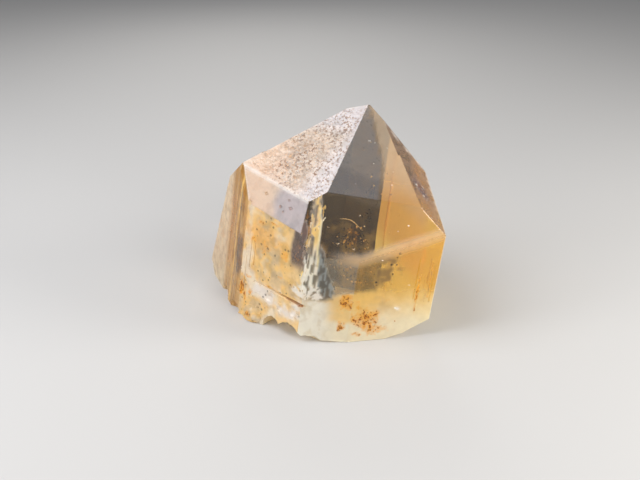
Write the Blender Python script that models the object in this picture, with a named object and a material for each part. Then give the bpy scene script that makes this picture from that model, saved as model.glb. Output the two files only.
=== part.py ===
"""Loose topaz crystal: a leaning prism with a roof-shaped top and a broken base.

One solid. A block is cut down by the crystal's natural faces, which are given in its own frame.
It is then leaned as it stands, broken off at the floor, and etched, grooved and chipped.
Sizes here are in millimetres and the finished mesh is in metres, +Z up. The origin is on the
floor, under the middle of the crystal's box.
"""

import math
import random

import bmesh
import bpy
from mathutils import Matrix, Vector

NAME = "topaz_crystal"
METRES_PER_MM = 0.001

# The crystal's own frame: +Z is its long axis, and azimuth 0 faces the front.
LEAN_RIGHT_DEG = 7.5
LEAN_BACK_DEG = 3.5
MIDDLE_HEIGHT = 3.65
MIDDLE_X = 0.51
MIDDLE_Y = 1.02

# Natural faces: azimuth (to the right), slope (90 is a prism face, 0 would be flat on top),
# both in degrees, and distance from the crystal's middle.
FACES = {
    "roof_left": (-35, 39, 4.67),
    "roof_front": (0, 40.5, 4.96),
    "roof_right": (52, 39, 5.81),
    "roof_sliver": (26, 37, 5.64),
    "roof_back_left": (-125, 44, 4.33),
    "roof_back": (-165, 42, 4.44),
    "roof_back_right": (112, 49, 4.91),
    "shoulder_left": (-39, 67, 4.78),
    "shoulder_front": (-1, 66.5, 4.90),
    "shoulder_far_left": (-105, 79.5, 5.46),
    "shoulder_back": (178, 68, 4.30),
    "prism_front": (-1, 90, 5.17),
    "prism_front_right": (9.5, 90, 5.34),
    "prism_front_left": (-41, 90, 4.59),
    "prism_left": (-68, 90, 4.81),
    "prism_back_left": (-122, 90, 6.05),
    "prism_back": (180, 90, 3.20),
    "prism_back_right": (149, 90, 3.05),
    "prism_right": (111, 90, 3.12),
}
BLOCK_SIZE = 40
CLEAN_DISTANCE = 0.002

# Breaks along the foot, where the crystal snapped off: a point on the break and the way it faces.
BREAK_PLANES = (
    ((2.6, -5.1, 0.0), (0.27, -0.10, -0.96)),
    ((3.5, -5.0, 0.26), (0.46, -0.10, -0.88)),
    ((-0.1, -5.4, 0.06), (-0.06, -0.50, -0.86)),
    ((-6.1, 1.7, 0.25), (-0.72, 0.25, -0.64)),
    ((1.5, 3.3, 0.5), (0.20, 0.72, -0.66)),
)

# Shell-shaped chips: middle, half sizes, and turn about the upright in degrees.
CHIPS = (
    ((-2.80, -4.26, -0.06), (0.62, 1.30, 0.78), 41),
    ((-2.00, -4.95, -0.06), (0.85, 1.15, 0.84), 41),
    ((-1.05, -5.60, -0.22), (1.05, 0.70, 0.62), 35),
    ((-3.18, -4.25, 1.62), (0.55, 0.50, 0.40), 41),
    ((-2.62, -4.72, 1.30), (0.36, 0.42, 0.34), 41),
    ((-1.98, -5.22, 1.50), (0.40, 0.42, 0.50), 41),
    ((-4.20, -3.48, 0.46), (0.24, 0.24, 0.30), 41),
    ((-5.02, -2.55, 0.16), (0.50, 0.62, 0.34), -68),
    ((-5.75, -0.75, 0.10), (0.42, 0.85, 0.30), -68),
    ((4.10, -1.30, -0.25), (0.62, 1.10, 0.75), 21),
    ((-2.90, 3.25, -0.20), (1.20, 0.62, 0.72), 0),
    ((0.20, 3.55, 1.60), (0.60, 0.50, 0.45), 0),
)
CHIP_ROUNDNESS = 2

# A broken lobe left standing at the front corner of the foot.
LOBE_MIDDLE = (-3.78, -3.32, 0.30)
LOBE_HALF_SIZE = (0.70, 0.42, 0.52)
LOBE_TURN_DEG = 41
LOBE_CLEARANCE = 0.02

# A cleavage crack across the front left face: its ends, height, half width and depth.
CRACK_FACE = "prism_front_left"
CRACK_ENDS = (-0.5, 2.8)
CRACK_HEIGHT = -2.2
CRACK_HALF_WIDTH = 0.11
CRACK_DEPTH = 0.17
CRACK_TAPER = 0.25

# Growth ledges: face, sideways range, range up the face, and depth.
LEDGES = (
    ("prism_left", (-9, -0.55), (-6, 9), 0.10),
    ("shoulder_far_left", (-9, 9), (0.10, 9), 0.10),
    ("shoulder_far_left", (-9, 9), (-1.7, 9), 0.07),
    ("prism_front_left", (-9, -1.25), (-3.2, 9), 0.07),
    ("roof_right", (-9, 9), (0.3, 9), 0.05),
    ("roof_back_left", (-9, 9), (0.7, 9), 0.05),
    ("prism_right", (0.2, 9), (-9, 9), 0.08),
    ("prism_back", (-9, 0.8), (-9, 9), 0.08),
)
LEDGE_BOX_HEIGHT = 1

# Striations, thin grooves up a prism face: face, sideways range, range of their middles up the
# face, range of their lengths, and how many.
STRIATIONS = (
    ("prism_left", (-2.6, 0.65), (-2.2, 0.6), (1.4, 3.2), 13),
    ("prism_front_left", (-1.45, -0.6), (-2.2, -0.6), (1.2, 2.2), 4),
    ("prism_front_right", (3.05, 4.25), (-0.7, -0.3), (1.9, 2.3), 2),
    ("prism_back", (3.2, 4.8), (-2.0, 0.5), (1.5, 3.0), 4),
    ("prism_right", (-5.4, -4.5), (-1.6, 0.4), (1.2, 2.4), 3),
    ("prism_back_left", (0.2, 1.4), (-3.4, -2.4), (1.0, 1.8), 4),
)
GROOVE_HALF_WIDTH = 0.035
GROOVE_SHARE_OF_STEP = 0.33
GROOVE_DEPTH = 0.06
GROOVE_TAPER = 0.4
GROOVE_PLACES_IN_STEP = (0.3, 0.7)

# Etch pits: face, how many, and the range of their radii.
ETCH_PITS = (
    ("roof_left", 110, (0.05, 0.16)),
    ("roof_front", 9, (0.04, 0.08)),
    ("shoulder_left", 5, (0.06, 0.12)),
    ("shoulder_front", 6, (0.04, 0.08)),
    ("roof_sliver", 5, (0.03, 0.05)),
    ("roof_back_left", 30, (0.06, 0.15)),
    ("roof_back_right", 12, (0.05, 0.11)),
    ("prism_right", 10, (0.04, 0.09)),
    ("prism_front_left", 8, (0.04, 0.09)),
)
PIT_DEPTH_SHARE = 0.42
PIT_STRETCH = 1.35
PIT_FLOOR = 0.2
PIT_FLARE = 0.25
PIT_MARGIN = 0.05
PIT_LOWEST = 1.2
PIT_TWIST_DEG = 12
PIT_TRIES = 200
FACE_REACH = 6
SEED = 11

BODY_COLOUR = (0.86, 0.70, 0.47, 1)
BODY_ROUGHNESS = 0.12
TOPAZ_IOR = 1.62


def direction(azimuth_deg, slope_deg):
    """Outward normal of a face, in the crystal's own frame."""
    azimuth, slope = math.radians(azimuth_deg), math.radians(slope_deg)
    return Vector((
        math.sin(slope) * math.sin(azimuth),
        -math.sin(slope) * math.cos(azimuth),
        math.cos(slope),
    ))


def face_frame(name):
    """Frame on a face: X runs across it to the right, Y up it, and Z out of it."""
    azimuth_deg, slope_deg, distance = FACES[name]
    outward = direction(azimuth_deg, slope_deg)
    across = Vector((math.cos(math.radians(azimuth_deg)), math.sin(math.radians(azimuth_deg)), 0))
    turn = Matrix((across, outward.cross(across), outward)).transposed().to_4x4()
    return Matrix.Translation(outward * distance) @ turn


def stance():
    """Takes the crystal's own frame to how it stands on the floor."""
    lean = (Matrix.Rotation(math.radians(-LEAN_BACK_DEG), 4, "X")
            @ Matrix.Rotation(math.radians(LEAN_RIGHT_DEG), 4, "Y"))
    return Matrix.Translation((0, 0, MIDDLE_HEIGHT)) @ lean


def scaled(half_size):
    return Matrix.Diagonal((*half_size, 1))


def cut_away(bm, point, outward):
    """Removes what lies beyond a plane and closes the cut."""
    geometry = bm.verts[:] + bm.edges[:] + bm.faces[:]
    cut = bmesh.ops.bisect_plane(
        bm, geom=geometry, dist=CLEAN_DISTANCE, plane_co=point, plane_no=outward, clear_outer=True
    )
    rim = [item for item in cut["geom_cut"] if isinstance(item, bmesh.types.BMEdge)]
    if rim:
        bmesh.ops.edgeloop_fill(bm, edges=rim)


def natural_block():
    """The sharp crystal, standing, before anything chipped or etched it."""
    bm = bmesh.new()
    bmesh.ops.create_cube(bm, size=BLOCK_SIZE)
    for azimuth_deg, slope_deg, distance in FACES.values():
        outward = direction(azimuth_deg, slope_deg)
        cut_away(bm, outward * distance, outward)
    bm.transform(stance())
    cut_away(bm, Vector((0, 0, 0)), Vector((0, 0, -1)))
    for point, outward in BREAK_PLANES:
        cut_away(bm, Vector(point), Vector(outward).normalized())
    return bm


def lobe():
    bm = bmesh.new()
    turn = Matrix.Rotation(math.radians(-LOBE_TURN_DEG), 4, "Z")
    matrix = Matrix.Translation(LOBE_MIDDLE) @ turn @ scaled(LOBE_HALF_SIZE)
    bmesh.ops.create_icosphere(bm, subdivisions=2, radius=1, matrix=matrix)
    cut_away(bm, Vector((0, 0, LOBE_CLEARANCE)), Vector((0, 0, -1)))
    return bm


def chip_cutters():
    shells = []
    for middle, half_size, turn_deg in CHIPS:
        bm = bmesh.new()
        turn = Matrix.Rotation(math.radians(-turn_deg), 4, "Z")
        matrix = Matrix.Translation(middle) @ turn @ scaled(half_size)
        bmesh.ops.create_icosphere(bm, subdivisions=CHIP_ROUNDNESS, radius=1, matrix=matrix)
        shells.append(bm)
    return shells


def ledge_cutters():
    """One box for each ledge, shaving its stretch of a face."""
    boxes = []
    for name, (left, right), (bottom, top), depth in LEDGES:
        bm = bmesh.new()
        middle = ((left + right) / 2, (bottom + top) / 2, LEDGE_BOX_HEIGHT / 2 - depth)
        size = (right - left, top - bottom, LEDGE_BOX_HEIGHT)
        matrix = stance() @ face_frame(name) @ Matrix.Translation(middle) @ scaled(size)
        bmesh.ops.create_cube(bm, size=1, matrix=matrix)
        boxes.append(bm)
    return boxes


def on_face(point, name, margin):
    """Whether a point on a face is inside all the other faces by a margin."""
    return all(
        point.dot(direction(azimuth_deg, slope_deg)) < distance - margin
        for other, (azimuth_deg, slope_deg, distance) in FACES.items()
        if other != name
    )


def crack_cutter():
    """A wedge that narrows from the open end of the crack to its tip."""
    bm = bmesh.new()
    tip, mouth = CRACK_ENDS
    matrix = (
        stance() @ face_frame(CRACK_FACE)
        @ Matrix.Translation(((tip + mouth) / 2, CRACK_HEIGHT, 0))
        @ Matrix.Rotation(math.radians(90), 4, "Y")
        @ scaled((CRACK_DEPTH, CRACK_HALF_WIDTH, 1))
    )
    bmesh.ops.create_cone(
        bm, cap_ends=True, segments=4, radius1=CRACK_TAPER, radius2=1, depth=mouth - tip,
        matrix=matrix,
    )
    return bm


def groove_cutters(rng):
    """V-shaped grooves along the long axis, side by side without touching."""
    bm = bmesh.new()
    for name, (left, right), middles, lengths, count in STRIATIONS:
        step = (right - left) / count
        half_width = min(GROOVE_HALF_WIDTH, step * GROOVE_SHARE_OF_STEP)
        for index in range(count):
            across = left + step * (index + rng.uniform(*GROOVE_PLACES_IN_STEP))
            matrix = (
                stance() @ face_frame(name)
                @ Matrix.Translation((across, rng.uniform(*middles), 0))
                @ Matrix.Rotation(math.radians(-90), 4, "X")
                @ scaled((half_width, GROOVE_DEPTH, 1))
            )
            bmesh.ops.create_cone(
                bm, cap_ends=True, segments=4, radius1=1, radius2=GROOVE_TAPER,
                depth=rng.uniform(*lengths), matrix=matrix,
            )
    return bm


def pit_cutters(rng):
    """Four-sided pits scattered over the etched faces, none touching another."""
    bm = bmesh.new()
    for name, count, radii in ETCH_PITS:
        frame = face_frame(name)
        placed = []
        for _ in range(count * PIT_TRIES):
            if len(placed) == count:
                break
            radius = rng.uniform(*radii) * (1 + PIT_FLARE)
            reach = radius * PIT_STRETCH
            across = rng.uniform(-FACE_REACH, FACE_REACH)
            spot = Vector((across, rng.uniform(-FACE_REACH, FACE_REACH), 0))
            clear = all((spot - other).length > reach + gap for other, gap in placed)
            if not clear or not on_face(frame @ spot, name, reach + PIT_MARGIN):
                continue
            if (stance() @ frame @ spot).z < PIT_LOWEST:
                continue
            placed.append((spot, reach))
            depth = radius * PIT_DEPTH_SHARE
            sunk = Vector((0, 0, depth * PIT_FLARE - depth / 2))
            matrix = (
                stance() @ frame @ Matrix.Translation(spot + sunk)
                @ Matrix.Rotation(math.radians(rng.uniform(-PIT_TWIST_DEG, PIT_TWIST_DEG)), 4, "Z")
                @ Matrix.Rotation(math.radians(180), 4, "X")
                @ scaled((reach, radius, 1))
            )
            bmesh.ops.create_cone(
                bm, cap_ends=True, segments=4, radius1=1, radius2=PIT_FLOOR, depth=depth,
                matrix=matrix,
            )
    return bm


def topaz():
    material = bpy.data.materials.new("topaz")
    material.use_nodes = True
    surface = material.node_tree.nodes["Principled BSDF"]
    surface.inputs["Base Color"].default_value = BODY_COLOUR
    surface.inputs["Roughness"].default_value = BODY_ROUGHNESS
    surface.inputs["Metallic"].default_value = 0
    surface.inputs["IOR"].default_value = TOPAZ_IOR
    surface.inputs["Transmission Weight"].default_value = 1
    return material


def new_object(name, bm, collection):
    """Makes an object of a mesh worked out in millimetres, moved so that its middle is the origin."""
    centre = Matrix.Translation((MIDDLE_X, MIDDLE_Y, 0))
    bm.transform(Matrix.Scale(METRES_PER_MM, 4) @ centre)
    bmesh.ops.recalc_face_normals(bm, faces=bm.faces)
    mesh = bpy.data.meshes.new(name)
    bm.to_mesh(mesh)
    bm.free()
    new = bpy.data.objects.new(name, mesh)
    collection.objects.link(new)
    return new


def shape_with(crystal, tool, operation):
    tool.hide_render = True
    tool.display_type = "WIRE"
    boolean = crystal.modifiers.new(tool.name, "BOOLEAN")
    boolean.operation = operation
    boolean.solver = "EXACT"
    boolean.object = tool


def main():
    for old in list(bpy.data.objects):
        bpy.data.objects.remove(old)
    parts = bpy.data.collections.new(NAME)
    cutters = bpy.data.collections.new("cutters")
    for collection in (parts, cutters):
        bpy.context.scene.collection.children.link(collection)

    rng = random.Random(SEED)
    crystal = new_object(NAME, natural_block(), parts)
    crystal.data.materials.append(topaz())
    for number, box in enumerate(ledge_cutters(), 1):
        shape_with(crystal, new_object(f"ledge_{number}", box, cutters), "DIFFERENCE")
    shape_with(crystal, new_object("lobe", lobe(), cutters), "UNION")
    for number, shell in enumerate(chip_cutters(), 1):
        shape_with(crystal, new_object(f"chip_{number}", shell, cutters), "DIFFERENCE")
    shape_with(crystal, new_object("crack", crack_cutter(), cutters), "DIFFERENCE")
    shape_with(crystal, new_object("striations", groove_cutters(rng), cutters), "DIFFERENCE")
    crystal.modifiers.new("triangles_for_pits", "TRIANGULATE")
    shape_with(crystal, new_object("etch_pits", pit_cutters(rng), cutters), "DIFFERENCE")


main()
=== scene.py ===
import math
import random

import bmesh
import bpy
import numpy as np
from mathutils import Matrix, Vector


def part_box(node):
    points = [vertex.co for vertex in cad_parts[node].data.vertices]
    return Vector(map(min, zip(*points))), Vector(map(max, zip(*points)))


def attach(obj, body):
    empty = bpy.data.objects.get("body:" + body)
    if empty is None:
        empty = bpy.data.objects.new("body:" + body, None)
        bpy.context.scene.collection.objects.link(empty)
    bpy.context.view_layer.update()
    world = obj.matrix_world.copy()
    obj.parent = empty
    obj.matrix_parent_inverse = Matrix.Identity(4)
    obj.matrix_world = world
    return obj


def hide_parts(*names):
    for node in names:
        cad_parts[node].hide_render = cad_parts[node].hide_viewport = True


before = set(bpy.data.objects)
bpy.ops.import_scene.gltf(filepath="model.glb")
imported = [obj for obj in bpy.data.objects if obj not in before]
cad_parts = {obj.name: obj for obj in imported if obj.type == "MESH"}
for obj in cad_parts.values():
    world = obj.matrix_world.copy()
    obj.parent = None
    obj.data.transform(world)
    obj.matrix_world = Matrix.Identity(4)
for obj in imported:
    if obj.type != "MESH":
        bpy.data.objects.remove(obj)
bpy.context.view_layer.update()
mm = 0.001
node = "topaz_crystal"


# camera at the photograph's view angle
cameraPlan = {
    "place": (0.052, -39.618, 24.04),   # mm, from the middle of the crystal's foot
    "lookDown": 27.8,                   # degrees
    "focalPixels": 894,
    "imageWidth": 640,
    "sensorWidth": 36,
    "nearest": 1,                       # mm, where the view starts
}


def makeCamera(plan):
    data = bpy.data.cameras.new("photoCamera")
    data.sensor_width = plan["sensorWidth"]
    data.lens = plan["focalPixels"] / plan["imageWidth"] * plan["sensorWidth"]
    data.clip_start = plan["nearest"] * mm
    camera = bpy.data.objects.new("photoCamera", data)
    bpy.context.scene.collection.objects.link(camera)
    camera.location = Vector(plan["place"]) * mm
    camera.rotation_euler = (math.radians(90 - plan["lookDown"]), 0, 0)
    bpy.context.scene.camera = camera
    print("camera at", plan["place"])


# floor and light
studioPlan = {
    "floorSize": 600,                   # mm
    "floorDrop": 0.02,                  # mm, so that the foot doesn't share the floor's plane
    "floorColour": (0.54, 0.53, 0.52),
    "floorRoughness": 0.7,
    "worldColour": (0.86, 0.88, 0.92),
    "worldStrength": 0.22,
    "aim": (0, 0, 5),                   # mm, what the lamps look at
    "lamps": (                          # name, direction, distance mm, width mm, power, colour
        ("topLeft", (-0.52, -0.08, 0.84), 60, 44, 0.025, (0.96, 0.97, 1.0)),
        ("left", (-0.90, -0.30, 0.38), 60, 30, 0.012, (0.95, 0.97, 1.0)),
        ("right", (0.93, -0.15, 0.30), 60, 30, 0.024, (1.0, 0.98, 0.94)),
        ("frontRight", (0.55, -0.66, 0.50), 60, 30, 0.016, (1.0, 0.98, 0.94)),
        ("frontLeft", (-0.60, -0.80, 0.25), 60, 30, 0.006, (1.0, 0.98, 0.94)),
        ("back", (-0.10, 0.88, 0.45), 60, 30, 0.006, (1.0, 0.98, 0.94)),
    ),
}


def makeStudio(plan):
    mesh = bpy.data.meshes.new("studioFloor")
    bm = bmesh.new()
    bmesh.ops.create_grid(bm, x_segments=2, y_segments=2, size=plan["floorSize"] * mm / 2,
                          matrix=Matrix.Translation((0, 0, -plan["floorDrop"] * mm)))
    bm.to_mesh(mesh)
    bm.free()
    floor = bpy.data.objects.new("studioFloor", mesh)
    bpy.context.scene.collection.objects.link(floor)
    material = bpy.data.materials.new("paleFloor")
    material.use_nodes = True
    shader = material.node_tree.nodes["Principled BSDF"]
    shader.inputs["Base Color"].default_value = (*plan["floorColour"], 1)
    shader.inputs["Roughness"].default_value = plan["floorRoughness"]
    mesh.materials.append(material)
    world = bpy.data.worlds.new("softRoom")
    world.use_nodes = True
    background = world.node_tree.nodes["Background"]
    background.inputs["Color"].default_value = (*plan["worldColour"], 1)
    background.inputs["Strength"].default_value = plan["worldStrength"]
    bpy.context.scene.world = world
    aim = Vector(plan["aim"]) * mm
    for name, direction, distance, width, power, colour in plan["lamps"]:
        lamp = bpy.data.lights.new(name, "AREA")
        lamp.shape = "DISK"
        lamp.size = width * mm
        lamp.energy = power
        lamp.color = colour
        thing = bpy.data.objects.new(name, lamp)
        thing.location = aim + Vector(direction).normalized() * distance * mm
        thing.rotation_euler = (-Vector(direction)).to_track_quat("-Z", "Y").to_euler()
        bpy.context.scene.collection.objects.link(thing)
    print("studio with", len(plan["lamps"]), "soft lamps")


# how the crystal stands, and which way each of its natural faces looks
stancePlan = {
    "leanRight": 7.5,                   # degrees
    "leanBack": 3.5,
    "middle": (0.51, 1.02, 3.65),       # mm
    "sameWay": 0.9998,                  # cosine, above which a small face belongs to a natural one
    "faces": {                          # azimuth to the right of the front, and slope, in degrees
        "roofLeft": (-35, 39),
        "roofFront": (0, 40.5),
        "roofRight": (52, 39),
        "roofBackLeft": (-125, 44),
        "roofBack": (-165, 42),
        "roofBackRight": (112, 49),
        "shoulderLeft": (-39, 67),
        "shoulderFront": (-1, 66.5),
        "shoulderFarLeft": (-105, 79.5),
        "prismFront": (-1, 90),
        "prismFrontRight": (9.5, 90),
        "prismFrontLeft": (-41, 90),
        "prismLeft": (-68, 90),
        "prismBackLeft": (-122, 90),
        "prismBack": (180, 90),
        "prismBackRight": (149, 90),
        "prismRight": (111, 90),
    },
}
ridgeFaces = ("shoulderFront", "prismFront", "prismFrontRight")


def leanTurn(plan):
    back = Matrix.Rotation(math.radians(-plan["leanBack"]), 3, "X")
    return back @ Matrix.Rotation(math.radians(plan["leanRight"]), 3, "Y")


# each natural face's outward normal, middle of its plane, and directions across and up it
def readFaces(plan, mesh):
    lean = leanTurn(plan)
    middle = Vector(plan["middle"])
    points = np.array([v.co for v in mesh.vertices]) / mm
    outward = np.array([face.normal for face in mesh.polygons])
    centres = np.array([face.center for face in mesh.polygons]) / mm
    areas = np.array([face.area for face in mesh.polygons])
    found = {}
    for name, (azimuth, slope) in plan["faces"].items():
        a, s = math.radians(azimuth), math.radians(slope)
        out = lean @ Vector((math.sin(s) * math.sin(a), -math.sin(s) * math.cos(a), math.cos(s)))
        across = lean @ Vector((math.cos(a), math.sin(a), 0))
        flat = outward @ np.array(out) > plan["sameWay"]
        if flat.any():
            levels = (centres[flat] @ np.array(out)).round(3)
            reach = max(dict.fromkeys(levels), key=lambda level: areas[flat][levels == level].sum())
        else:
            reach = float((points @ np.array(out)).max())
        found[name] = {
            "out": np.array(out),
            "across": np.array(across),
            "up": np.array(out.cross(across)),
            "reach": reach,
            "origin": np.array(middle + out * (reach - out.dot(middle))),
        }
    down = np.array((0.0, 0.0, -1.0))
    found["foot"] = {
        "out": down, "across": np.array((1.0, 0, 0)), "up": np.array((0, 1.0, 0)),
        "reach": 0.0, "origin": np.zeros(3),
    }
    return found


# a number from 0 to 1 for each whole-numbered cell, mixed with large primes
def hashed(cells, seed):
    mixed = cells[:, 0] * 73856093 ^ cells[:, 1] * 19349663 ^ cells[:, 2] * 83492791 ^ seed * 2654435761
    mixed = (mixed ^ mixed >> 13) * 1274126177 & 0xFFFFFFFF
    return (mixed ^ mixed >> 16 & 0xFFFF) % 65536 / 65535


# soft noise around 0.5 with features of about a size in mm
def cloud(points, size, seed, layers):
    total = np.zeros(len(points))
    weight = 0.0
    for layer in range(layers):
        share = 0.5 ** layer
        grid = points / (size * share)
        base = np.floor(grid).astype(np.int64)
        part = grid - base
        part = part * part * (3 - 2 * part)
        value = np.zeros(len(points))
        for corner in range(8):
            step = np.array((corner & 1, corner >> 1 & 1, corner >> 2 & 1))
            near = np.where(step, part, 1 - part).prod(axis=1)
            value += near * hashed(base + step, seed + layer)
        total += value * share
        weight += share
    return total / weight


# noise drawn out along one direction, as in striations and fibres
def stripes(across, along, width, length, seed, layers):
    return cloud(np.stack((across / width, along / length, across * 0), axis=1), 1.0, seed, layers)


# a soft step from least to 1, as the values go from low to high
def ramp(values, low, high, least=0.0):
    share = np.clip((values - low) / (high - low), 0, 1)
    return least + (1 - least) * share * share * (3 - 2 * share)


# the fine surface of the stone
bodyPlan = {
    "cell": 0.17,                       # mm, spacing of the fine mesh
    "finer": {"roofLeft": 0.055, "prismLeft": 0.07, "prismFrontLeft": 0.085, "shoulderLeft": 0.085,
              "shoulderFront": 0.085, "prismFront": 0.085, "prismFrontRight": 0.085,
              "foot": 0.12},            # mm, where it is finer
    "firstCut": 0.37,                   # cells from the middle, so that no cut follows an edge
    "slack": 0.02,                      # cells, how near a corner is to a cut that it counts as on it
    "doubles": 0.0001,                  # mm, apart, that corners of the CAD mesh may lie and be one
    "cleanest": 0.002,                  # mm, shortest edge kept
    "mends": 6,                         # times that flaps are looked for
    "turnWeight": 0.6,                  # mm that a full turn counts for, in choosing a face's zone
    "block": 40,                        # mm, size of the plain block that the natural faces cut
    "dullest": 5,                       # degrees, turn of the faintest edge that wears
    "edgeCut": 0.006,                   # mm, depth of the worn flat along each sharp edge
    "fade": (0.02, 0.16),               # mm from an edge, where the relief starts and is full
    "softRidge": 0.55,                  # mm, roundness between the front shoulder and the prism
    "ridgeDrop": 0.28,                  # how much of a full round it takes off
    "wave": (1.6, 0.008),               # mm, length and height of the faint waviness of all faces
    "etch": (0.17, 0.068, 0.042),       # mm, spacing, radius and depth of the small pits
    "etched": ("roofLeft", "roofBackLeft", "roofBackRight"),
    "smallPits": 0.6,                   # size and depth of the smaller pits, to the larger ones
    "smallShift": 40,                   # mm, sets their pattern apart
    "grain": (0.12, 0.042),             # mm, size and height of the etched faces' grain
    "streak": (0.11, 1.6, 0.035),       # mm, width, length and depth of the prism's striations
    "streaked": {"prismLeft": 1.0, "prismFrontLeft": 0.12, "prismBackLeft": 0.8, "shoulderFarLeft": 0.7},
    "streakFloor": 0.42,                # noise below which the stone stays plain
    "foot": (0.30, 0.05),               # mm, size and height of the broken foot's roughness
    "footTop": 1.6,                     # mm, how high that roughness reaches
    "sharpest": 30,                     # degrees, above which an edge stays sharp
    "seeds": {"wave": 3, "pits": 21, "smallPits": 31, "grain": 9, "streak": 41, "foot": 5},
}


def cutPlane(bm, point, outward, clearOuter):
    geometry = bm.verts[:] + bm.edges[:] + bm.faces[:]
    cut = bmesh.ops.bisect_plane(bm, geom=geometry, dist=1e-7, plane_co=point, plane_no=outward,
                                 clear_outer=clearOuter)
    return [item for item in cut["geom_cut"] if isinstance(item, bmesh.types.BMEdge)]


# middle of every edge between two natural faces, and the way it looks, from a plain block
def sharpEdges(faces, plan):
    bm = bmesh.new()
    bmesh.ops.create_cube(bm, size=plan["block"])
    for face in faces.values():
        out = Vector(face["out"])
        rim = cutPlane(bm, out * face["reach"], out, True)
        if rim:
            bmesh.ops.edgeloop_fill(bm, edges=rim)
    bmesh.ops.recalc_face_normals(bm, faces=bm.faces)
    found = []
    for edge in bm.edges:
        first, second = (face.normal for face in edge.link_faces)
        middle = (edge.verts[0].co + edge.verts[1].co) / 2
        aboveFoot = abs(middle.z) > 0.01
        if aboveFoot and first.angle(second) > math.radians(plan["dullest"]):
            found.append((middle, (first + second).normalized()))
    bm.free()
    return found


# cuts a narrow flat along each sharp edge, which catches the light
def wearEdges(bm, faces, plan):
    for middle, outward in sharpEdges(faces, plan):
        rim = cutPlane(bm, (middle - outward * plan["edgeCut"]) * mm, outward, True)
        if rim:
            bmesh.ops.holes_fill(bm, edges=rim, sides=0)


# cuts faces along evenly spaced planes, and gives back all of their parts
def sweepCut(bm, chosen, step, direction, plan):
    def span(face):
        along = [vert.co.dot(direction) for vert in face.verts]
        return min(along), max(along), face

    waiting = [span(face) for face in chosen]
    done = []
    if not waiting:
        return done
    start = plan["firstCut"] * step
    at = math.ceil((min(low for low, high, face in waiting) - start) / step) * step + start
    last = max(high for low, high, face in waiting)
    slack = step * plan["slack"]
    while at < last:
        done += [face for low, high, face in waiting if high <= at + slack]
        crossed = [face for low, high, face in waiting if low < at - slack and high > at + slack]
        waiting = [item for item in waiting if item[0] >= at - slack and item[1] > at + slack]
        if crossed:
            edges = dict.fromkeys(edge for face in crossed for edge in face.edges)
            verts = dict.fromkeys(vert for face in crossed for vert in face.verts)
            cut = bmesh.ops.bisect_plane(bm, geom=crossed + list(edges) + list(verts), dist=slack / 4,
                                         plane_co=direction * at, plane_no=direction)
            parts = [item for item in cut["geom"] if isinstance(item, bmesh.types.BMFace)]
            waiting += [span(face) for face in parts]
            done += [item[2] for item in waiting if item[1] <= at + slack]
            waiting = [item for item in waiting if item[1] > at + slack]
        at += step
    return done + [item[2] for item in waiting]


# cuts every natural face along its own square grid, so that it can be worked finely
def gridCut(bm, faces, plan):
    zones = faceZones(bm, faces, plan)
    groups = [[] for name in faces]
    for face, zone in zip(bm.faces, zones):
        groups[zone].append(face)
    for name, chosen in zip(faces, groups):
        step = plan["finer"].get(name, plan["cell"]) * mm
        for key in ("across", "up"):
            chosen = sweepCut(bm, chosen, step, Vector(faces[name][key]).normalized(), plan)
        if name == "foot":
            sweepCut(bm, chosen, step, Vector((0, 0, 1)), plan)
    bmesh.ops.triangulate(bm, faces=bm.faces)
    bmesh.ops.remove_doubles(bm, verts=bm.verts, dist=plan["cleanest"] * mm)
    mendSeams(bm, plan)
    bmesh.ops.triangulate(bm, faces=bm.faces)


# groups of faces that hang together by their edges, the largest last
def faceGroups(bm):
    for face in bm.faces:
        face.tag = False
    groups = []
    for first in bm.faces:
        if first.tag:
            continue
        first.tag = True
        group = [first]
        for face in group:
            for edge in face.edges:
                for other in edge.link_faces:
                    if not other.tag:
                        other.tag = True
                        group.append(other)
        groups.append(group)
    return sorted(groups, key=len)


# takes out the flaps and scraps that merging leaves, and closes their holes
def mendSeams(bm, plan):
    for turn in range(plan["mends"]):
        flaps = [face for face in bm.faces
                 if any(len(edge.link_faces) > 2 for edge in face.edges)
                 and any(len(edge.link_faces) == 1 for edge in face.edges)]
        if not flaps:
            break
        bmesh.ops.delete(bm, geom=flaps, context="FACES")
    scraps = [face for group in faceGroups(bm)[:-1] for face in group]
    print("scraps taken out:", len(scraps), "faces")
    bmesh.ops.delete(bm, geom=scraps, context="FACES")
    bmesh.ops.delete(bm, geom=[edge for edge in bm.edges if not edge.link_faces], context="EDGES")
    rims = [edge for edge in bm.edges if len(edge.link_faces) == 1]
    bmesh.ops.holes_fill(bm, edges=rims, sides=0)
    bmesh.ops.recalc_face_normals(bm, faces=bm.faces)


def faceDistances(points, faces):
    outs = np.array([face["out"] for face in faces.values()])
    reaches = np.array([face["reach"] for face in faces.values()])
    return points @ outs.T - reaches


# index of the natural face that each small face lies on or just under
def faceZones(bm, faces, plan):
    middles = np.array([face.calc_center_median() for face in bm.faces]) / mm
    normals = np.array([face.normal for face in bm.faces])
    outs = np.array([face["out"] for face in faces.values()])
    return (faceDistances(middles, faces) + plan["turnWeight"] * normals @ outs.T).argmax(axis=1)


# places across and up a face, in mm from the middle of the crystal
def local(points, face):
    away = points - face["origin"]
    return away @ face["across"], away @ face["up"]


# form of the etch pits
pitPlan = {
    "inset": 0.15,                      # of a cell, how far a pit's middle keeps from its border
    "size": (0.45, 0.9),                # of the radius: the smallest pit, and what the largest adds
    "stretch": 1.4,                     # width to height
    "slant": 0.35,
}


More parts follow.
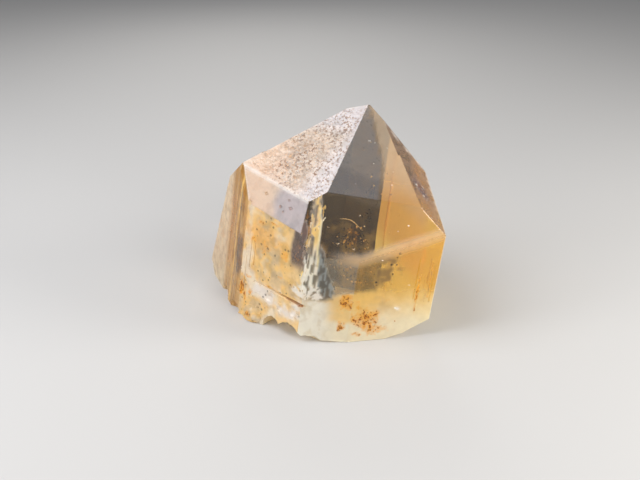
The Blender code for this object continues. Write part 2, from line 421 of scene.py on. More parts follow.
# depth from 0 to 1 of scattered four-sided pits
def pitField(across, up, spacing, radius, seed, plan=pitPlan):
    depth = np.zeros(len(across))
    inset, (smallest, growth) = plan["inset"], plan["size"]
    column, row = np.floor(across / spacing), np.floor(up / spacing)
    for stepAcross in (-1, 0, 1):
        for stepUp in (-1, 0, 1):
            cells = np.stack((column + stepAcross, row + stepUp, column * 0), axis=1).astype(np.int64)
            x = (cells[:, 0] + inset + (1 - 2 * inset) * hashed(cells, seed)) * spacing
            y = (cells[:, 1] + inset + (1 - 2 * inset) * hashed(cells, seed + 1)) * spacing
            size = radius * (smallest + growth * hashed(cells, seed + 2) ** 2)
            reach = np.maximum(abs(across - x) / plan["stretch"], abs(up - y))
            reach = reach + plan["slant"] * abs(across - x + up - y)
            depth = np.maximum(depth, np.clip(1 - reach / size, 0, 1) * size / radius)
    return depth


# gives each face its own relief, which fades out at its edges
def workSurface(bm, faces, plan):
    points = np.array([vert.co for vert in bm.verts]) / mm
    distances = faceDistances(points, faces)
    order = np.argsort(-distances, axis=1)
    nearest, second = order[:, 0], order[:, 1]
    rows = np.arange(len(points))
    margin = -(distances[rows, second] - distances[rows, nearest])
    fade = ramp(margin, *plan["fade"])
    names = list(faces)
    seeds = plan["seeds"]
    outs = np.array([face["out"] for face in faces.values()])
    length, height = plan["wave"]
    depth = (cloud(points, length, seeds["wave"], 2) - 0.5) * height * fade
    spacing, radius, pitDepth = plan["etch"]
    small = plan["smallPits"]
    for name in plan["etched"]:
        here = nearest == names.index(name)
        across, up = local(points[here], faces[name])
        pits = pitField(across, up, spacing, radius, seeds["pits"])
        pits = pits + small * pitField(up + plan["smallShift"], across, spacing * small, radius * small,
                                       seeds["smallPits"])
        grain = cloud(points[here], plan["grain"][0], seeds["grain"], 2) - 0.5
        depth[here] += (pits * pitDepth + grain * plan["grain"][1]) * fade[here]
    width, length, streakDepth = plan["streak"]
    for name, share in plan["streaked"].items():
        here = nearest == names.index(name)
        across, up = local(points[here], faces[name])
        lines = np.clip(stripes(across, up, width, length, seeds["streak"], 3) - plan["streakFloor"], 0, 1)
        depth[here] += lines * 2 * streakDepth * share * fade[here]
    size, height = plan["foot"]
    low = ramp(points[:, 2], plan["footTop"], 0.0) * (nearest != names.index("foot"))
    depth += (cloud(points, size, seeds["foot"], 3) - 0.5) * height * low * fade
    pulled = points - outs[nearest] * depth[:, None]
    ridge = np.isin(nearest, [names.index(name) for name in ridgeFaces])
    ridge &= np.isin(second, [names.index(name) for name in ridgeFaces])
    reach = plan["softRidge"]
    share = np.clip(1 - margin / reach, 0, 1) * ridge
    blend = outs[nearest] + outs[second]
    blend /= np.linalg.norm(blend, axis=1)[:, None]
    pulled -= blend * (share ** 2 * reach / 4 * plan["ridgeDrop"])[:, None]
    low, high = (np.array(corner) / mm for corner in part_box(node))
    pulled = np.clip(pulled, low, high)
    for vert, point in zip(bm.verts, pulled):
        vert.co = point * mm


# keeps the edges between natural faces crisp, and those inside a face soft
def sharpenEdges(bm, faces, zones, plan):
    names = list(faces)
    soft = {names.index(name) for name in ridgeFaces}
    bm.faces.index_update()
    limit = math.radians(plan["sharpest"])
    for face in bm.faces:
        face.smooth = True
    for edge in bm.edges:
        if len(edge.link_faces) != 2:
            continue
        first, second = (int(zones[face.index]) for face in edge.link_faces)
        apart = first != second and not (first in soft and second in soft)
        edge.smooth = not (apart or edge.calc_face_angle(0) > limit)


def makeBody(plan):
    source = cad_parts[node]
    faces = readFaces(stancePlan, source.data)
    bm = bmesh.new()
    bm.from_mesh(source.data)
    bmesh.ops.remove_doubles(bm, verts=bm.verts, dist=plan["doubles"] * mm)
    wearEdges(bm, faces, plan)
    gridCut(bm, faces, plan)
    bm.normal_update()
    zones = faceZones(bm, faces, plan)
    workSurface(bm, faces, plan)
    sharpenEdges(bm, faces, zones, plan)
    mesh = bpy.data.meshes.new("topazBody")
    bm.to_mesh(mesh)
    bm.free()
    body = bpy.data.objects.new("topazBody", mesh)
    bpy.context.scene.collection.objects.link(body)
    print("body of", len(mesh.polygons), "triangles")
    paintBody(mesh, faces, zones)
    mesh.materials.append(stoneMaterial(stonePlan))
    weighted = body.modifiers.new("evenNormals", "WEIGHTED_NORMAL")
    weighted.mode = "FACE_AREA"
    weighted.keep_sharp = True
    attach(body, "root")
    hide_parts(node)


# how each face is finished: share of scattering film, roughness, and colour
paintPlan = {
    "roofLeft": (0.58, 0.36, (1.0, 0.85, 0.72)),
    "roofFront": (0.05, 0.05, (0.90, 0.74, 0.56)),
    "roofRight": (0.34, 0.16, (0.50, 0.36, 0.27)),
    "roofBackLeft": (0.40, 0.35, (0.95, 0.80, 0.62)),
    "roofBack": (0.20, 0.15, (1.0, 0.86, 0.66)),
    "roofBackRight": (0.30, 0.25, (1.0, 0.84, 0.62)),
    "shoulderLeft": (0.62, 0.26, (0.74, 0.57, 0.42)),
    "shoulderFront": (0.03, 0.03, (1.0, 0.92, 0.82)),
    "shoulderFarLeft": (0.50, 0.25, (1.0, 0.78, 0.48)),
    "prismFront": (0.11, 0.04, (0.94, 0.86, 0.68)),
    "prismFrontRight": (0.12, 0.06, (1.0, 0.66, 0.18)),
    "prismFrontLeft": (0.86, 0.14, (1.0, 0.70, 0.28)),
    "prismLeft": (0.50, 0.16, (0.50, 0.30, 0.10)),
    "prismBackLeft": (0.60, 0.30, (1.0, 0.74, 0.42)),
    "prismBack": (0.75, 0.30, (1.0, 0.55, 0.16)),
    # the back right face is a near black film: painted shade
    "prismBackRight": (0.94, 0.04, (0.045, 0.035, 0.022)),
    "prismRight": (0.78, 0.20, (0.94, 0.59, 0.17)),
    "foot": (0.80, 0.35, (1.0, 0.92, 0.70)),
}
# how much the film varies from place to place, where that isn't fully
patchyPlan = {"prismRight": 0.1, "foot": 0.1, "prismBack": 0.1, "roofFront": 0.15,
              "prismBackRight": 0.25, "shoulderFront": 0.3, "prismFront": 0.3, "prismFrontRight": 0.3}
# coats laid over the faces: strength, share of film, roughness and colour, and then for each value
# that limits the coat, where it starts and where it is full (mm, or the noise's own measure)
coatPlan = {
    # painted shade: the near black window, its brownish mottles and its lighter grey top
    "window": (1.0, 0.94, 0.04, (0.045, 0.035, 0.022), (-0.35, 0.25)),
    "shadeMottle": (0.8, 0.80, 0.06, (0.34, 0.25, 0.085), (0.42, 0.60), (-0.9, -1.7, 0.1)),
    "windowTop": (0.85, 0.85, 0.08, (0.17, 0.165, 0.16), (0.0, 0.5)),
    "rightTop": (1.0, 0.74, 0.20, (0.86, 0.60, 0.30), (0.9, 1.9)),
    "rightBack": (0.8, 0.88, 0.20, (0.90, 0.62, 0.12), (-3.2, -4.6)),
    "rightLow": (0.85, 0.90, 0.20, (1.0, 0.86, 0.34), (-0.3, -1.8)),
    # painted sheen: lilac-white on the left roof, dark lilac on the left shoulder's right side
    "paintedSheen": (0.9, 0.88, 0.30, (0.91, 0.91, 1.0)),
    "paintedShoulderSheen": (0.85, 0.58, 0.26, (0.46, 0.41, 0.47), (-0.4, 0.5)),
    "greyWindow": (1.0, 0.13, 0.05, (0.72, 0.74, 0.80), (0.04, -0.10)),
    "tanSide": (1.0, 0.30, 0.08, (0.86, 0.72, 0.56), (-0.06, 0.16), (-1.9, 1.0)),
    "paleLines": (0.7, 0.45, 0.15, (0.90, 0.64, 0.30), (0.45, 0.58)),
    "brownLines": (0.85, 0.60, 0.12, (0.46, 0.25, 0.05), (0.0, 1.6), (0.64, 0.50)),
    "leftTop": (0.5, 0.60, 0.12, (0.56, 0.34, 0.09), (0.8, 2.0)),
    "leftBack": (1.0, 0.55, 0.25, (0.84, 0.76, 0.58), (-1.3, -2.0)),
    "goldenLine": (1.0, 0.7, 0.2, (1.0, 0.70, 0.25), (0.10, 0.03)),
    "darkStrip": (0.8, 0.5, 0.10, (0.16, 0.15, 0.15), (0.40, 0.15), (-2.6, -2.2), (-0.1, -0.6)),
    "mottlePale": (0.9, 0.80, 0.2, (0.97, 0.91, 0.76), (0.44, 0.64), (1.3, 0.9, 0.2)),
    "mottleDeep": (0.6, 0.55, 0.1, (0.80, 0.69, 0.50), (0.46, 0.34)),
    # painted shade: a clearer, darker corner of the front left face, where the dark window shows through
    "darkCorner": (1.0, 0.20, 0.06, (0.36, 0.28, 0.25), (1.45, 1.75), (-0.8, 0.0)),
    "orange": (0.7, 0.88, 0.15, (1.0, 0.58, 0.16), (1.0, 0.3)),
    "orangeEdge": (0.7, 0.88, 0.15, (1.0, 0.62, 0.18), (1.1, 0.5)),
    "smudge": (0.85, 0.66, 0.1, (0.17, 0.11, 0.055), (0.38, 0.60), (2.45, 2.05), (-1.1, -0.3), (1.2, 1.4)),
    # a pale film along edges: partly wear, partly painted highlight
    "wearAndEdgeHighlight": (0.75, 0.8, 0.3, (1.0, 0.98, 0.96)),
    # painted highlight: a pale band along the rounded ridge of the front shoulder and prism
    "softRidge": (0.9, 0.46, 0.30, (0.92, 0.66, 0.38), (0.20, 0.01), (0.2, 2.0)),
    "creamLow": (0.9, 0.96, 0.2, (1.0, 0.97, 0.78), (3.0, 0.6)),
    "goldHaze": (0.75, 0.90, 0.15, (1.0, 0.68, 0.20), (0.50, 0.76), (0.1, 0.6), (3.1, 2.5), (3.6, 2.7)),
    "whiteFoot": (0.85, 0.93, 0.25, (0.97, 1.0, 0.94), (2.25, 2.05), (0.9, -0.1)),
    "footMottle": (0.7, 0.70, 0.25, (0.86, 0.82, 0.64), (0.50, 0.66)),
    "footSpeck": (0.5, 0.70, 0.2, (0.84, 0.82, 0.70), (0.52, 0.68)),
    "frost": (0.95, 0.96, 0.35, (1.0, 0.99, 0.97)),
    "veilBlue": (0.85, 0.62, 0.08, (0.04, 0.052, 0.062), (-0.02, 0.03), (0.0, 0.10), (5.1, 4.6),
                 (2.15, 2.35)),
    "veilPaleBlue": (0.8, 0.7, 0.1, (0.42, 0.48, 0.50), (0.52, 0.62)),
    "veilViolet": (0.85, 0.6, 0.1, (0.07, 0.045, 0.065), (1.15, 0.8)),
    "veilDark": (0.7, 0.60, 0.1, (0.10, 0.085, 0.06), (0.54, 0.42)),
    # painted highlights: the crack's golden and pale glints
    "veilGoldGlint": (0.9, 0.85, 0.12, (1.0, 0.70, 0.24), (0.47, 0.56), (4.0, 5.2)),
    "veilPaleGlint": (0.92, 0.92, 0.15, (1.0, 0.98, 0.88), (0.46, 0.56), (5.2, 4.0)),
    "veilBorder": (0.95, 0.92, 0.12, (1.0, 0.88, 0.52), (0.06, 0.02), (3.7, 4.2), (6.5, 6.3)),
    # painted highlight: the white spray of glinting fibres at the crack's foot
    "veilSprayGlint": (0.95, 0.95, 0.2, (1.0, 1.0, 0.95), (0.85, 0.70), (0.44, 0.54), (2.15, 2.3)),
    "crackLine": (0.8, 0.8, 0.2, (0.40, 0.20, 0.12), (0.08, 0.03), (0.9, 1.6)),
    "brown": (0.6, 0.66, 0.40, (0.88, 0.67, 0.52), (0.42, 0.62), (1.0, 0.2)),
    "etched": (0.9, 0.72, 0.3, (0.15, 0.12, 0.15)),
}
# noise that breaks the coats up: size in mm, seed, layers, and how far it pushes a border
noisePlan = {
    "windowEdge": (0.5, 61, 3, 0.8),
    "shadeMottle": (0.7, 71, 4),
    "shoulder": (0.9, 81, 3, 1.0),
    "strip": (0.5, 99, 3, 0.5),
    "mottle": (0.8, 95, 3),
    "darkCorner": (0.4, 145, 2, 0.3),
    "orange": (0.5, 141, 3, 1.2),
    "orangeEdge": (0.4, 143, 3, 0.8),
    "smudge": (0.35, 73, 3),
    "smudgeEdge": (0.35, 147, 2, 1.2),
    "creamLow": (0.6, 97, 3, 0.7),
    "goldHaze": (0.75, 137, 3),
    "whiteFoot": (0.3, 131, 2, 0.3),
    "footMottle": (0.45, 139, 3),
    "footSpeck": (0.22, 149, 2),
    "ragged": (0.20, 121, 2, 0.25),
    "gritAndSparkle": (0.9, 88, 2),
    "brown": (1.1, 87, 2),
}
# ovals that some coats are centred on: middle and half sizes (mm)
ovalPlan = {
    "orange": ((-0.1, 0.2), (1.3, 1.1)),
    "orangeEdge": ((1.15, -0.1), (0.35, 0.9)),
    "goldHaze": ((1.5, 1.7), (1.9, 1.3)),
    "veilViolet": ((-0.66, 5.45), (0.13, 0.48)),
    "brown": ((-0.3, 0.9), (1.0, 1.6)),
}
# patches of iron stain: face, middle across and up it, half sizes (mm), and strength
rustPlan = (
    ("prismFront", (1.04, -1.85), (0.70, 0.60), 0.85),
    ("prismFront", (0.98, -3.06), (0.30, 0.30), 0.9),
    ("prismFrontRight", (1.15, -2.55), (0.75, 0.75), 0.95),
    ("prismFrontRight", (1.60, -3.00), (0.80, 0.50), 0.62),
    ("prismFrontRight", (0.89, -3.40), (0.40, 0.20), 0.6),
    ("prismFrontRight", (2.14, -1.54), (0.25, 0.30), 0.5),
    ("prismFrontRight", (2.61, -2.60), (0.10, 0.10), 0.8),
    ("prismFrontRight", (3.42, -1.00), (0.10, 1.15), 0.9),
    ("prismFrontRight", (3.94, -0.35), (0.09, 0.95), 0.85),
    ("prismFrontLeft", (-0.48, 0.89), (0.40, 0.25), 0.6),
    ("prismFrontLeft", (0.46, 1.11), (0.40, 0.08), 0.7),
    ("prismFrontLeft", (-0.82, -0.10), (0.18, 0.30), 0.6),
    ("prismFrontLeft", (-0.05, -0.20), (0.70, 0.50), 0.5),
    ("prismFrontLeft", (1.21, -0.20), (0.35, 0.50), 0.5),
    ("prismFrontLeft", (1.03, -1.35), (0.25, 0.15), 0.6),
    ("prismFrontLeft", (-1.01, -2.15), (0.40, 0.10), 0.8),
    ("prismFrontLeft", (-1.35, -2.90), (0.30, 0.60), 1.0),
    ("prismFrontLeft", (-0.70, -2.81), (0.20, 0.30), 0.95),
    ("prismFrontLeft", (-0.99, -3.28), (0.14, 0.40), 0.9),
    ("prismFrontLeft", (0.44, -3.18), (0.50, 0.18), 0.55),
    ("prismFrontLeft", (0.42, -2.12), (0.60, 0.05), 0.8),
    ("prismFrontLeft", (-0.57, -3.95), (0.30, 0.30), 1.0),
    ("prismFront", (-0.95, -2.22), (0.35, 0.10), 1.0),
    ("prismBackRight", (0.43, -1.81), (0.55, 0.65), 0.45),
    ("prismBackRight", (0.01, -1.72), (0.12, 0.22), 0.7),
    ("foot", (1.30, 1.10), (0.9, 0.8), 0.6),
    ("foot", (2.00, -1.50), (0.9, 1.6), 0.55),
    ("foot", (-2.50, 1.20), (0.8, 0.8), 0.5),
    ("foot", (-3.10, -1.20), (0.5, 0.8), 0.7),
    ("prismBack", (1.60, -1.60), (0.9, 0.9), 0.6),
    ("prismBack", (0.90, -2.00), (0.5, 0.6), 0.6),
    ("prismRight", (-4.00, 0.30), (0.5, 1.2), 0.5),
)
# pale frosted breaks: face, middle across and up it, and half sizes (mm)
frostPlan = (
    ("prismFrontLeft", (0.20, -2.60), (1.15, 0.55)),
    ("prismFrontLeft", (2.20, -2.75), (0.50, 0.60)),
    ("prismFrontLeft", (1.40, -2.95), (0.80, 0.40)),
    ("prismFrontRight", (2.60, -1.95), (0.14, 0.12)),
)
# edges given a pale film, partly wear and partly a painted highlight: the two faces that meet, and the width
# (mm)
edgePlan = (
    ("roofLeft", "shoulderLeft", 0.09),
    ("roofLeft", "roofBackLeft", 0.07),
    ("roofLeft", "roofBack", 0.07),
    ("roofRight", "prismRight", 0.06),
    ("roofRight", "roofBackRight", 0.06),
    ("shoulderLeft", "prismLeft", 0.04),
    ("prismFrontRight", "prismRight", 0.05),
)


# distance from an oval's middle, 1 on its border
def oval(across, up, middle, half):
    return np.hypot((across - middle[0]) / half[0], (up - middle[1]) / half[1])


# borders of the patches, where 1 is the half size that is given
patchPlan = {
    "fade": (0.2, 1.25),                # where a patch starts to fade, and where it ends
    "ragged": (0.30, 1.5),              # size of the border's noise (mm), and how far that moves it
    "reach": 2.2,                       # how far the noise can carry it
    "frostSeed": 150,
    "rustSeed": 200,
}


# 1 in the middle of a ragged patch on a face, and 0 outside it
def patchOf(at, face, middle, half, seed, plan=patchPlan):
    away = oval(*local(at, face), middle, half)
    size, push = plan["ragged"]
    mask = np.zeros(len(at))
    near = away < plan["reach"]
    mask[near] = 1 - ramp(away[near] + (cloud(at[near], size, seed, 2) - 0.5) * push, *plan["fade"])
    return mask


# a mask that fades in over the range given for each value
def narrowed(mask, values, ranges):
    for value, limits in zip(values, ranges):
        mask = mask * ramp(value, *limits)
    return mask


# the finish at each corner of each small face, so that it changes crisply at the edges
class Finish:
    def __init__(self, mesh, faces, zones):
        corners = np.zeros(len(mesh.loops), np.int64)
        mesh.loops.foreach_get("vertex_index", corners)
        points = np.zeros(len(mesh.vertices) * 3)
        mesh.vertices.foreach_get("co", points)
        self.at = points.reshape(-1, 3)[corners] / mm
        self.right, self.high = self.at[:, 0], self.at[:, 2]
        self.faces = faces
        self.zone = np.repeat(zones, 3)
        self.film, self.frost, self.rust, self.dark, self.gritAndSparkle = np.zeros((5, len(self.at)))
        self.tint = np.ones((len(self.at), 4))
        for index, name in enumerate(faces):
            here = self.zone == index
            self.film[here], self.frost[here], self.tint[here, :3] = paintPlan[name]

    def on(self, *names):
        return np.isin(self.zone, [list(self.faces).index(name) for name in names])

    def local(self, name):
        return local(self.at, self.faces[name])

    def noise(self, name):
        return cloud(self.at, *noisePlan[name][:3])

    def wobble(self, name):
        return (self.noise(name) - 0.5) * noisePlan[name][3]

    def patch(self, name, middle, half, seed):
        mask = np.zeros(len(self.at))
        here = self.on(name)
        mask[here] = patchOf(self.at[here], self.faces[name], middle, half, seed)
        return mask

    def coat(self, name, mask, *values):
        strength, share, rough, colour, *ranges = coatPlan[name]
        mask = narrowed(mask, values, ranges)
        amount = mask * strength
        self.film = self.film * (1 - amount) + share * amount
        self.frost = self.frost * (1 - amount) + rough * amount
        amount = amount[:, None]
        self.tint[:, :3] = self.tint[:, :3] * (1 - amount) + np.array(colour) * amount
        return mask


# the dark window on the back right face, painted shade for the dark seen through the crystal, and the golden
# right face
windowPlan = {
    "edge": 1.30,                       # mm across the back face, where its stain ends
    "grains": 0.9,                      # share of dark grains
}


def paintHiddenSide(finish, plan):
    across, up = finish.local("prismBack")
    inside = plan["edge"] + finish.wobble("windowEdge") - across
    # painted shade: a near black film over the clear end of the back face and the whole back right face
    window = finish.coat("window", finish.on("prismBack"), inside) + finish.on("prismBackRight")
    across, up = finish.local("prismBackRight")
    # brownish mottles and a lighter grey top on that painted shade
    finish.coat("shadeMottle", window, finish.noise("shadeMottle"), up)
    finish.coat("windowTop", window, up)
    finish.dark += window * plan["grains"]
    across, up = finish.local("prismRight")
    here = finish.on("prismRight")
    finish.coat("rightTop", here, up)
    finish.coat("rightBack", here, across)
    finish.coat("rightLow", here, up)


# the painted lilac sheen on the left roof and the left shoulder, and the grey window and tan side of the
# front roof
roofPlan = {
    "sheenRight": (0.1, 1.3),           # mm across, where the painted sheen starts and is full
    "sheenTop": (1.7, 3.0),             # mm up
    "sheenLean": 0.1,
    "windowSide": 1.86,                 # mm across, the window's right border
    "windowBend": (1.0, 0.26),          # mm up, where that border bends in, and how much
}


def paintRoofs(finish, plan):
    across, up = finish.local("roofLeft")
    # painted sheen: lilac-white on the left roof's right side and top
    side = ramp(across - plan["sheenLean"] * up, *plan["sheenRight"])
    finish.coat("paintedSheen", finish.on("roofLeft") * np.maximum(side, ramp(up, *plan["sheenTop"])))
    # painted sheen: dark lilac on the left shoulder's right side
    across, up = finish.local("shoulderLeft")
    finish.coat("paintedShoulderSheen", finish.on("shoulderLeft"), across + finish.wobble("shoulder"))
    across, up = finish.local("roofFront")
    bendFrom, bend = plan["windowBend"]
    border = across - plan["windowSide"] + bend * np.maximum(up - bendFrom, 0)
    finish.coat("greyWindow", finish.on("roofFront"), border)
    finish.coat("tanSide", finish.on("roofFront"), border, up)


# the striped left face
leftPlan = {
    "lines": (0.12, 3.0, 91, 2),        # mm, width and length of the stripes, seed and layers
    "goldenLine": (-0.16, 0.05),        # mm across, and how it leans
    "strip": 0.45,                      # mm across, middle of the dark strip
}


def paintLeftFace(finish, plan):
    across, up = finish.local("prismLeft")
    here = finish.on("prismLeft")
    lines = stripes(across, up, *plan["lines"])
    finish.coat("paleLines", here, lines)
    finish.coat("brownLines", here, up, lines)
    finish.coat("leftTop", here, up)
    finish.coat("leftBack", here, across)
    middle, lean = plan["goldenLine"]
    finish.coat("goldenLine", here, np.abs(across - middle - lean * up))


def paintDarkStrip(finish, plan):
    across, up = finish.local("prismLeft")
    away = np.abs(across - plan["strip"] + finish.wobble("strip"))
    finish.coat("darkStrip", finish.on("prismLeft"), away, up, up)


# the mottled front left face, and the dark smudge on the front right one
frontPlan = {
    "grains": (0.6, (0.56, 0.48)),      # share of dark grains, and the mottle that they lie in
    "specks": ((1.0, 1.3), (2.4, 2.2), (-1.0, -0.7)),   # mm across, across and up
    "hazeGain": 0.35,                   # what the haze gains near its middle
    "hazeNear": (1.0, 0.3),
    "crack": (-2.20, -0.05, 1.5),       # mm up, slope, and mm across of the crack's line
    "crackRagged": 0.25,
}


def paintFrontLeft(finish, plan):
    across, up = finish.local("prismFrontLeft")
    here = finish.on("prismFrontLeft")
    mottle = finish.noise("mottle")
    finish.coat("mottlePale", here, mottle, across)
    finish.coat("mottleDeep", here, mottle)
    # painted shade: a clearer, darker corner, through which the painted shade of the back window shows
    finish.coat("darkCorner", here, across + finish.wobble("darkCorner"), up)
    for name in ("orange", "orangeEdge"):
        finish.coat(name, here, oval(across, up, *ovalPlan[name]) + finish.wobble(name))
    share, limits = plan["grains"]
    finish.dark += here * share * ramp(mottle, *limits)


def paintSmudge(finish, plan):
    across, up = finish.local("prismFrontRight")
    here = finish.on("prismFrontRight")
    wobble = finish.wobble("smudgeEdge")
    finish.coat("smudge", here, finish.noise("smudge"), across - wobble, up + wobble, across)
    finish.dark += narrowed(here, (across, across, up), plan["specks"])


def paintEdges(finish, plan):
    away = dict(zip(finish.faces, faceDistances(finish.at, finish.faces).T))
    for first, second, width in plan:
        # pale film along each edge: partly wear, partly painted highlight
        edge = ramp(np.abs(away[first] - away[second]), width, 0.0)
        finish.coat("wearAndEdgeHighlight", finish.on(first, second) * edge)
    # painted highlight: a pale band along the rounded ridge between the front shoulder and the prism
    prism = np.maximum(away["prismFront"], away["prismFrontRight"])
    finish.coat("softRidge", finish.on(*ridgeFaces), np.abs(away["shoulderFront"] - prism), finish.right)


# the cream low front with its golden haze, and the white foot
def paintLowFront(finish, plan):
    right, high = finish.right, finish.high
    front = finish.on(*ridgeFaces)
    finish.coat("creamLow", front, high - finish.wobble("creamLow"))
    gain = plan["hazeGain"] * ramp(oval(right, high, *ovalPlan["goldHaze"]), *plan["hazeNear"])
    finish.coat("goldHaze", front, finish.noise("goldHaze") + gain, right, high, right)
    foot = finish.coat("whiteFoot", front, high - finish.wobble("whiteFoot"), right)
    finish.coat("footMottle", foot, finish.noise("footMottle"))
    finish.coat("footSpeck", foot, finish.noise("footSpeck"))


# where the healed crack shows at the surface: its left and right border (mm) at some heights
veilPlan = {
    "heights": (2.0, 2.3, 3.2, 4.1, 4.9, 5.1, 5.7, 6.6),
    "left": (-0.92, -0.95, -0.87, -0.72, -0.52, -0.46, -0.36, -0.31),
    "right": (-0.05, -0.05, -0.08, -0.04, 0.01, 0.03, 0.10, 0.16),
    "shade": (0.75, 0.75, 0.62, 0.38, 0.18, 0.12, 0.12, 0.16),
    "lean": 0.15,
    "streak": (0.055, 0.42, 123, 2),    # mm, width and length of its fibres, seed and layers
    "strip": ((-0.04, 0.06), (-0.02, 0.03), (2.15, 2.4)),
    "violetLean": (0.1, 5.4),           # slope, and mm of height
    "borderInset": 0.03,                # mm
    "spray": (-0.60, 2.25),             # mm, foot of the white spray of fibres, across and up
    "sprayFibres": (0.16, 0.5, 127, 2), # radians and mm, seed and layers
}


def paintVeil(finish, plan):
    right, high = finish.right, finish.high
    lines = stripes(right - plan["lean"] * high, high, *plan["streak"])
    left, border, last = (np.interp(high, plan["heights"], plan[key]) for key in ("left", "right", "shade"))
    ragged = finish.wobble("ragged")
    front = finish.on("prismFrontLeft", *ridgeFaces)
    blue = finish.coat("veilBlue", front, right - border, last + ragged - right, high, high + ragged)
    finish.coat("veilPaleBlue", blue, lines)
    lean, level = plan["violetLean"]
    violet = oval(right - lean * (high - level), high, *ovalPlan["veilViolet"])
    finish.coat("veilViolet", front, violet)
    strip = narrowed(front, (right + ragged - left, border - right, high + ragged), plan["strip"])
    finish.coat("veilDark", strip, lines)
    # painted highlights: golden and pale glints along the crack's fibres
    finish.coat("veilGoldGlint", strip, lines, high - ragged)
    finish.coat("veilPaleGlint", strip, lines, high - ragged)
    finish.coat("veilBorder", front, np.abs(right - border + plan["borderInset"]), high, high)
    # painted highlight: a white spray of glinting fibres at the crack's foot
    aside, above = right - plan["spray"][0], high - plan["spray"][1]
    away = np.hypot(above, aside)
    fibres = stripes(np.arctan2(above, aside), away, *plan["sprayFibres"])
    finish.coat("veilSprayGlint", front, away - 2 * ragged, fibres, high)


def paintCrack(finish, plan):
    across, up = finish.local("prismFrontLeft")
    level, slope, middle = plan["crack"]
    away = np.abs(up - level - slope * (across - middle)) + finish.wobble("ragged") * plan["crackRagged"]
    finish.coat("crackLine", finish.on("prismFrontLeft"), away, across)


# dirt and dark etching on the roofs, and the mask where the material lays dirt crumbs and painted sparkle
# highlights
dirtAndSparklePlan = {
    "lean": 0.4,
    "gritAndSparkle": ((-2.4, -1.0), (0.35, 0.6, 0.35)),      # mm across, and noise
    "etched": ("roofRight", (-0.10, -1.75), (0.26, 1.00), 190),
}


def paintDirtAndSparkle(finish, plan):
    across, up = finish.local("roofLeft")
    here = finish.on("roofLeft")
    # this mask carries both the dirt crumbs and the painted sparkle highlights
    gritAndSparkle = narrowed(here, (across + plan["lean"] * up, finish.noise("gritAndSparkle")), plan["gritAndSparkle"])
    finish.coat("brown", here, finish.noise("brown"), oval(across, up, *ovalPlan["brown"]))
    etched = finish.coat("etched", finish.patch(*plan["etched"]))
    finish.gritAndSparkle = np.maximum(gritAndSparkle, etched)


# lays the coats on in order, and keeps the result with the mesh for the material to read
def paintBody(mesh, faces, zones):
    finish = Finish(mesh, faces, zones)
    paintHiddenSide(finish, windowPlan)
    paintRoofs(finish, roofPlan)
    paintLeftFace(finish, leftPlan)
    paintFrontLeft(finish, frontPlan)
    paintSmudge(finish, frontPlan)
    paintEdges(finish, edgePlan)
    paintDarkStrip(finish, leftPlan)
    paintLowFront(finish, frontPlan)
    for index, (name, middle, half) in enumerate(frostPlan):
        finish.coat("frost", finish.patch(name, middle, half, patchPlan["frostSeed"] + index))
    paintVeil(finish, veilPlan)
    paintCrack(finish, frontPlan)
    for index, (name, middle, half, strength) in enumerate(rustPlan):
        stain = finish.patch(name, middle, half, patchPlan["rustSeed"] + index) * strength
        finish.rust = np.maximum(finish.rust, stain)
    paintDirtAndSparkle(finish, dirtAndSparklePlan)
    patchy = np.ones(len(finish.at))
    for name, share in patchyPlan.items():
        patchy[finish.on(name)] = share
    for name, values in (("film", finish.film), ("frost", finish.frost), ("rust", finish.rust),
                         ("dark", finish.dark), ("gritAndSparkle", finish.gritAndSparkle), ("patchy", patchy)):
        attribute = mesh.attributes.new(name, "FLOAT", "CORNER")
        attribute.data.foreach_set("value", values.astype(np.float32))
    attribute = mesh.attributes.new("tint", "FLOAT_COLOR", "CORNER")
    attribute.data.foreach_set("color", finish.tint.astype(np.float32).ravel())
    print("painted with", len(coatPlan), "coats and", len(rustPlan), "stains")


# the stone's own finish
stonePlan = {
    "ior": 1.62,
    "throughColour": (0.96, 0.81, 0.42),   # what one unit of depth lets through
    "density": 90,
    "glow": 0.45,                          # share of the film's light that comes from behind it
    "rustPale": (1.0, 0.47, 0.02),
    "rustDeep": (0.32, 0.085, 0.01),
    "grainColour": (0.03, 0.025, 0.02),
    "gritColour": (0.34, 0.19, 0.12),
    # colour of the painted sparkle highlights
    "paintedSparkleColour": (1.0, 0.98, 0.96),
    "coarse": 0.5, "fine": 0.13,           # mm, sizes of the noise that breaks up the stain
    "stainRough": 0.9, "deepRough": 3.0,   # how much it does so
    "stain": (0.20, 1.00), "stainFrom": (0.02, 0.15),
    "deep": (0.85, 1.15), "deepFrom": (0.3, 0.6),
    "grainCell": 0.30,                     # mm
    "grainRough": 0.25,
    "grain": (0.36, 0.26),
    "crumbs": ((0.16, 3.0, 0.6), (0.09, 1.0, 0.4)),     # mm, detail and weight
    "crumb": (0.510, 0.575),
    "paintedSparkleSize": 0.075,                    # mm, size of the painted sparkle highlights
    "paintedSparkle": (0.57, 0.65),
    "patches": (0.3, 0.7, -0.35, 0.25),    # noise from and to, and what it takes from and adds to the film
    "cover": {"stain": 0.9, "deep": 0.9, "dirt": 0.8, "paintedSparkle": 0.85},
    "film": {"stain": 0.85, "deep": 0.9, "grain": 0.9},
    "stainFrost": 0.15,                    # roughness that stain adds
}


